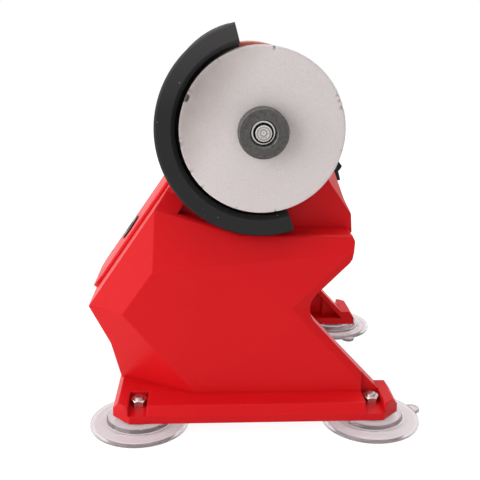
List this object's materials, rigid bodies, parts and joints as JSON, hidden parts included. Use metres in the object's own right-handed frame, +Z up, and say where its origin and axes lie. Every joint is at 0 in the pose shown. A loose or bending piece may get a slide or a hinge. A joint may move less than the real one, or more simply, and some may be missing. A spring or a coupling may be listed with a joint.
{
  "type": "bench grinder",
  "caption": "Small battery bench grinder: red faceted housing on suction cups, double-ended motor with grinding wheels, black wheel guards, rocker switch and charging jack.",
  "frame": {"origin": "on the table, in the middle of the four suction cups", "axes": "+Z up, +X towards the operator, +Y along the wheel spindle, the white wheel is on the -Y side"},
  "size_m": [0.1561, 0.159, 0.1769],
  "materials": {
    "red_abs": "satin moulded",
    "black_plastic": "satin moulded",
    "black_gloss": "smooth moulded",
    "clear_pvc": "clear, soft",
    "white_abrasive": "fine grain",
    "brown_abrasive": "coarse grain",
    "dark_steel": "blackened",
    "zinc_steel": "zinc plated",
    "can_steel": "plated",
    "ferrite": "matte",
    "bronze": "sintered",
    "carbon": "pressed carbon",
    "lamination": "stamped",
    "enamel_wire": "enamelled",
    "copper": "turned",
    "cell_wrap": "shrink wrapped",
    "nickel": "plain",
    "board_green": "solder mask"
  },
  "bodies": {
    "housing": {"left_shell": "red_abs", "right_shell": "red_abs", "rear_cover": "red_abs", "base_plate": "black_plastic", "shell_screws": "zinc_steel", "plate_screws": "zinc_steel", "cover_screws": "zinc_steel", "motor_can": "can_steel", "motor_end_cap": "black_plastic", "motor_magnets": "ferrite", "motor_bushes": "bronze", "motor_brushes": "carbon", "left_guard": "black_plastic", "right_guard": "black_plastic", "guard_screws": "zinc_steel", "switch_body": "black_gloss", "switch_terminals": "nickel", "charge_jack": "black_gloss", "jack_nut": "zinc_steel", "jack_pin": "nickel", "battery_cells": "cell_wrap", "cell_brackets": "black_plastic", "cell_strips": "nickel", "control_board": "board_green", "board_parts": "black_plastic", "cup_rear_left": "clear_pvc", "cup_front_left": "clear_pvc", "cup_front_right": "clear_pvc", "cup_rear_right": "clear_pvc", "cup_studs": "zinc_steel", "cup_nuts": "zinc_steel"},
    "spindle": {"motor_shaft": "zinc_steel", "rotor_core": "lamination", "rotor_windings": "enamel_wire", "commutator": "copper", "wheel_arbors": "zinc_steel", "white_wheel": "white_abrasive", "brown_wheel": "brown_abrasive", "clamp_washers": "dark_steel", "lock_rings": "zinc_steel", "wheel_screws": "zinc_steel"},
    "rocker": {"rocker": "black_gloss"}
  },
  "joints": [
    {"name": "spindle_spin", "type": "hinge", "parent": "housing", "child": "spindle", "pos_m": [0.0018, 0, 0.133], "axis": [0, 1, 0], "continuous": true},
    {"name": "rocker_tilt", "type": "hinge", "parent": "housing", "child": "rocker", "pos_m": [0.03711, 0, 0.11278], "axis": [0, 1, 0], "range_deg": [0, 20]}
  ]
}
